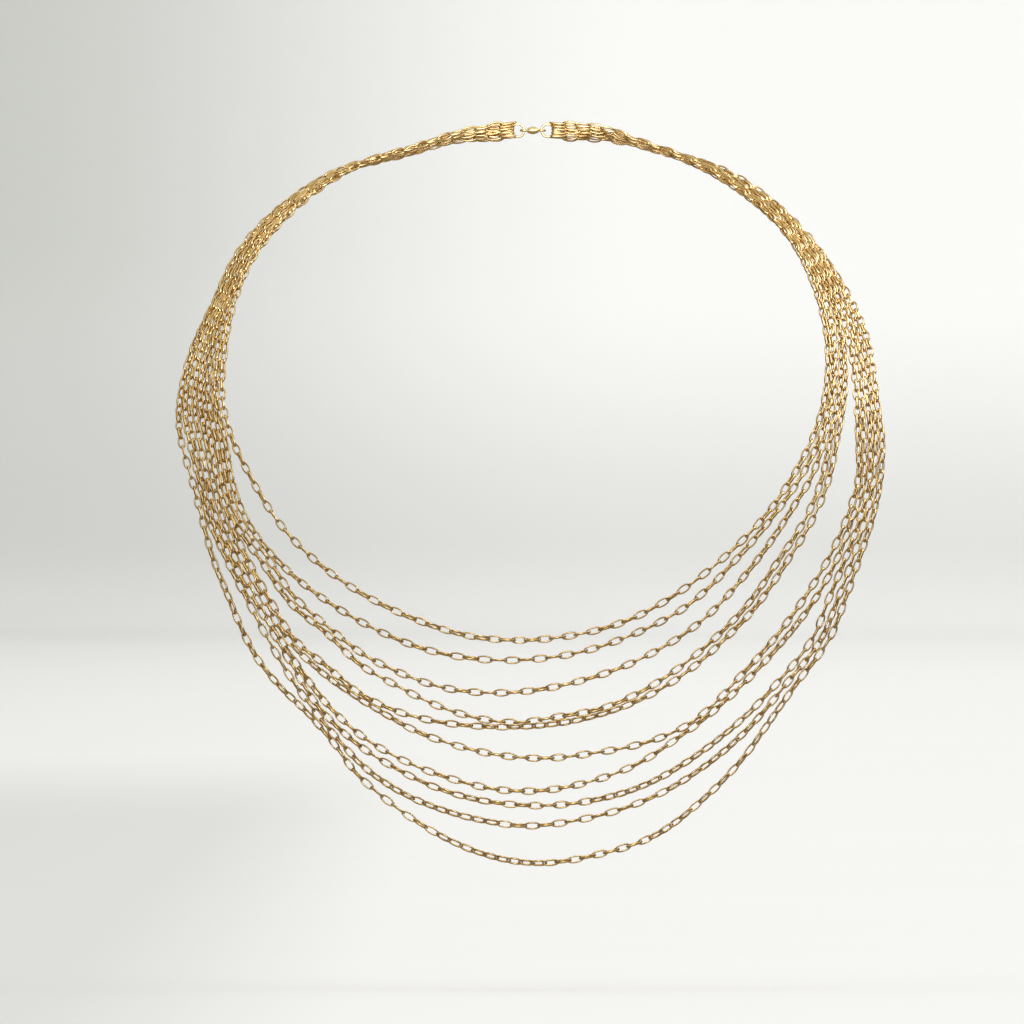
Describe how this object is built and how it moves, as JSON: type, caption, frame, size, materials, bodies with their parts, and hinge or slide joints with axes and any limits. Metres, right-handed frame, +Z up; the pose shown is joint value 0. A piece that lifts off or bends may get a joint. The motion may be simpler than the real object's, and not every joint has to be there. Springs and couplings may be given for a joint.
{
  "type": "multi strand chain necklace",
  "caption": "Necklace of fine cable chains in graduated lengths, gathered on two end rings at the nape and closed by a plain barrel clasp, in the form it has when worn.",
  "frame": {"origin": "where the clasp's neck side rests on the nape, in the middle of its barrel", "axes": "+Z up, -Y towards the chest, which is the front, +X to the right as seen from the front"},
  "size_m": [0.1763, 0.14, 0.1859],
  "materials": {
    "chain_gold": "polished pale yellow gold colour",
    "ring_gold": "polished pale yellow gold colour",
    "clasp_gold": "polished, softly worn gold colour"
  },
  "bodies": {
    "root": {"strand_1": "chain_gold", "strand_2": "chain_gold", "strand_3": "chain_gold", "strand_4": "chain_gold", "strand_5": "chain_gold", "strand_6": "chain_gold", "strand_7": "chain_gold", "strand_8": "chain_gold", "strand_9": "chain_gold", "strand_10": "chain_gold", "ring_left": "ring_gold", "ring_right": "ring_gold", "clasp": "clasp_gold"}
  },
  "joints": []
}
